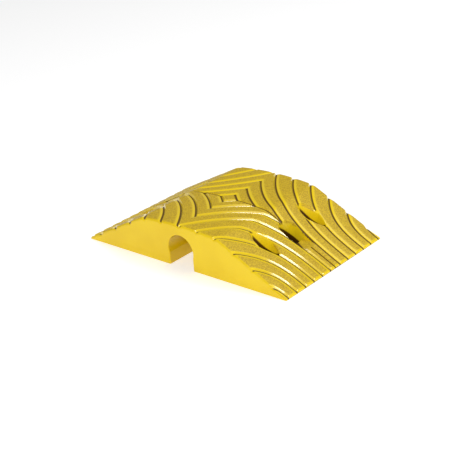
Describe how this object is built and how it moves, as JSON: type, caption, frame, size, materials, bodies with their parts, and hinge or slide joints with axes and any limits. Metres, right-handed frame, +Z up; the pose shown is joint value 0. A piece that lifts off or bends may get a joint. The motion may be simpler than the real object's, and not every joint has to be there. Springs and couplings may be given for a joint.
{
  "type": "cable protector ramp",
  "caption": "Moulded drive-over ramp with a crowned top, rippled slopes, fixing pockets and an arched channel underneath for a cable or hose.",
  "frame": {"origin": "middle of the base, on the surface that the ramp stands on", "axes": "+X along the traffic, from toe to toe; +Y along the cable channel; +Z up"},
  "size_m": [0.42, 0.25, 0.075],
  "materials": {
    "moulded_pvc": "satin moulded yellow plastic",
    "zinc_steel": "zinc plated"
  },
  "bodies": {
    "root": {"ramp_body": "moulded_pvc", "sleeve_right_front": "zinc_steel", "sleeve_right_middle": "zinc_steel", "sleeve_right_back": "zinc_steel", "sleeve_left_front": "zinc_steel", "sleeve_left_middle": "zinc_steel", "sleeve_left_back": "zinc_steel", "washer_right_front": "zinc_steel", "washer_right_middle": "zinc_steel", "washer_right_back": "zinc_steel", "washer_left_front": "zinc_steel", "washer_left_middle": "zinc_steel", "washer_left_back": "zinc_steel"}
  },
  "joints": []
}
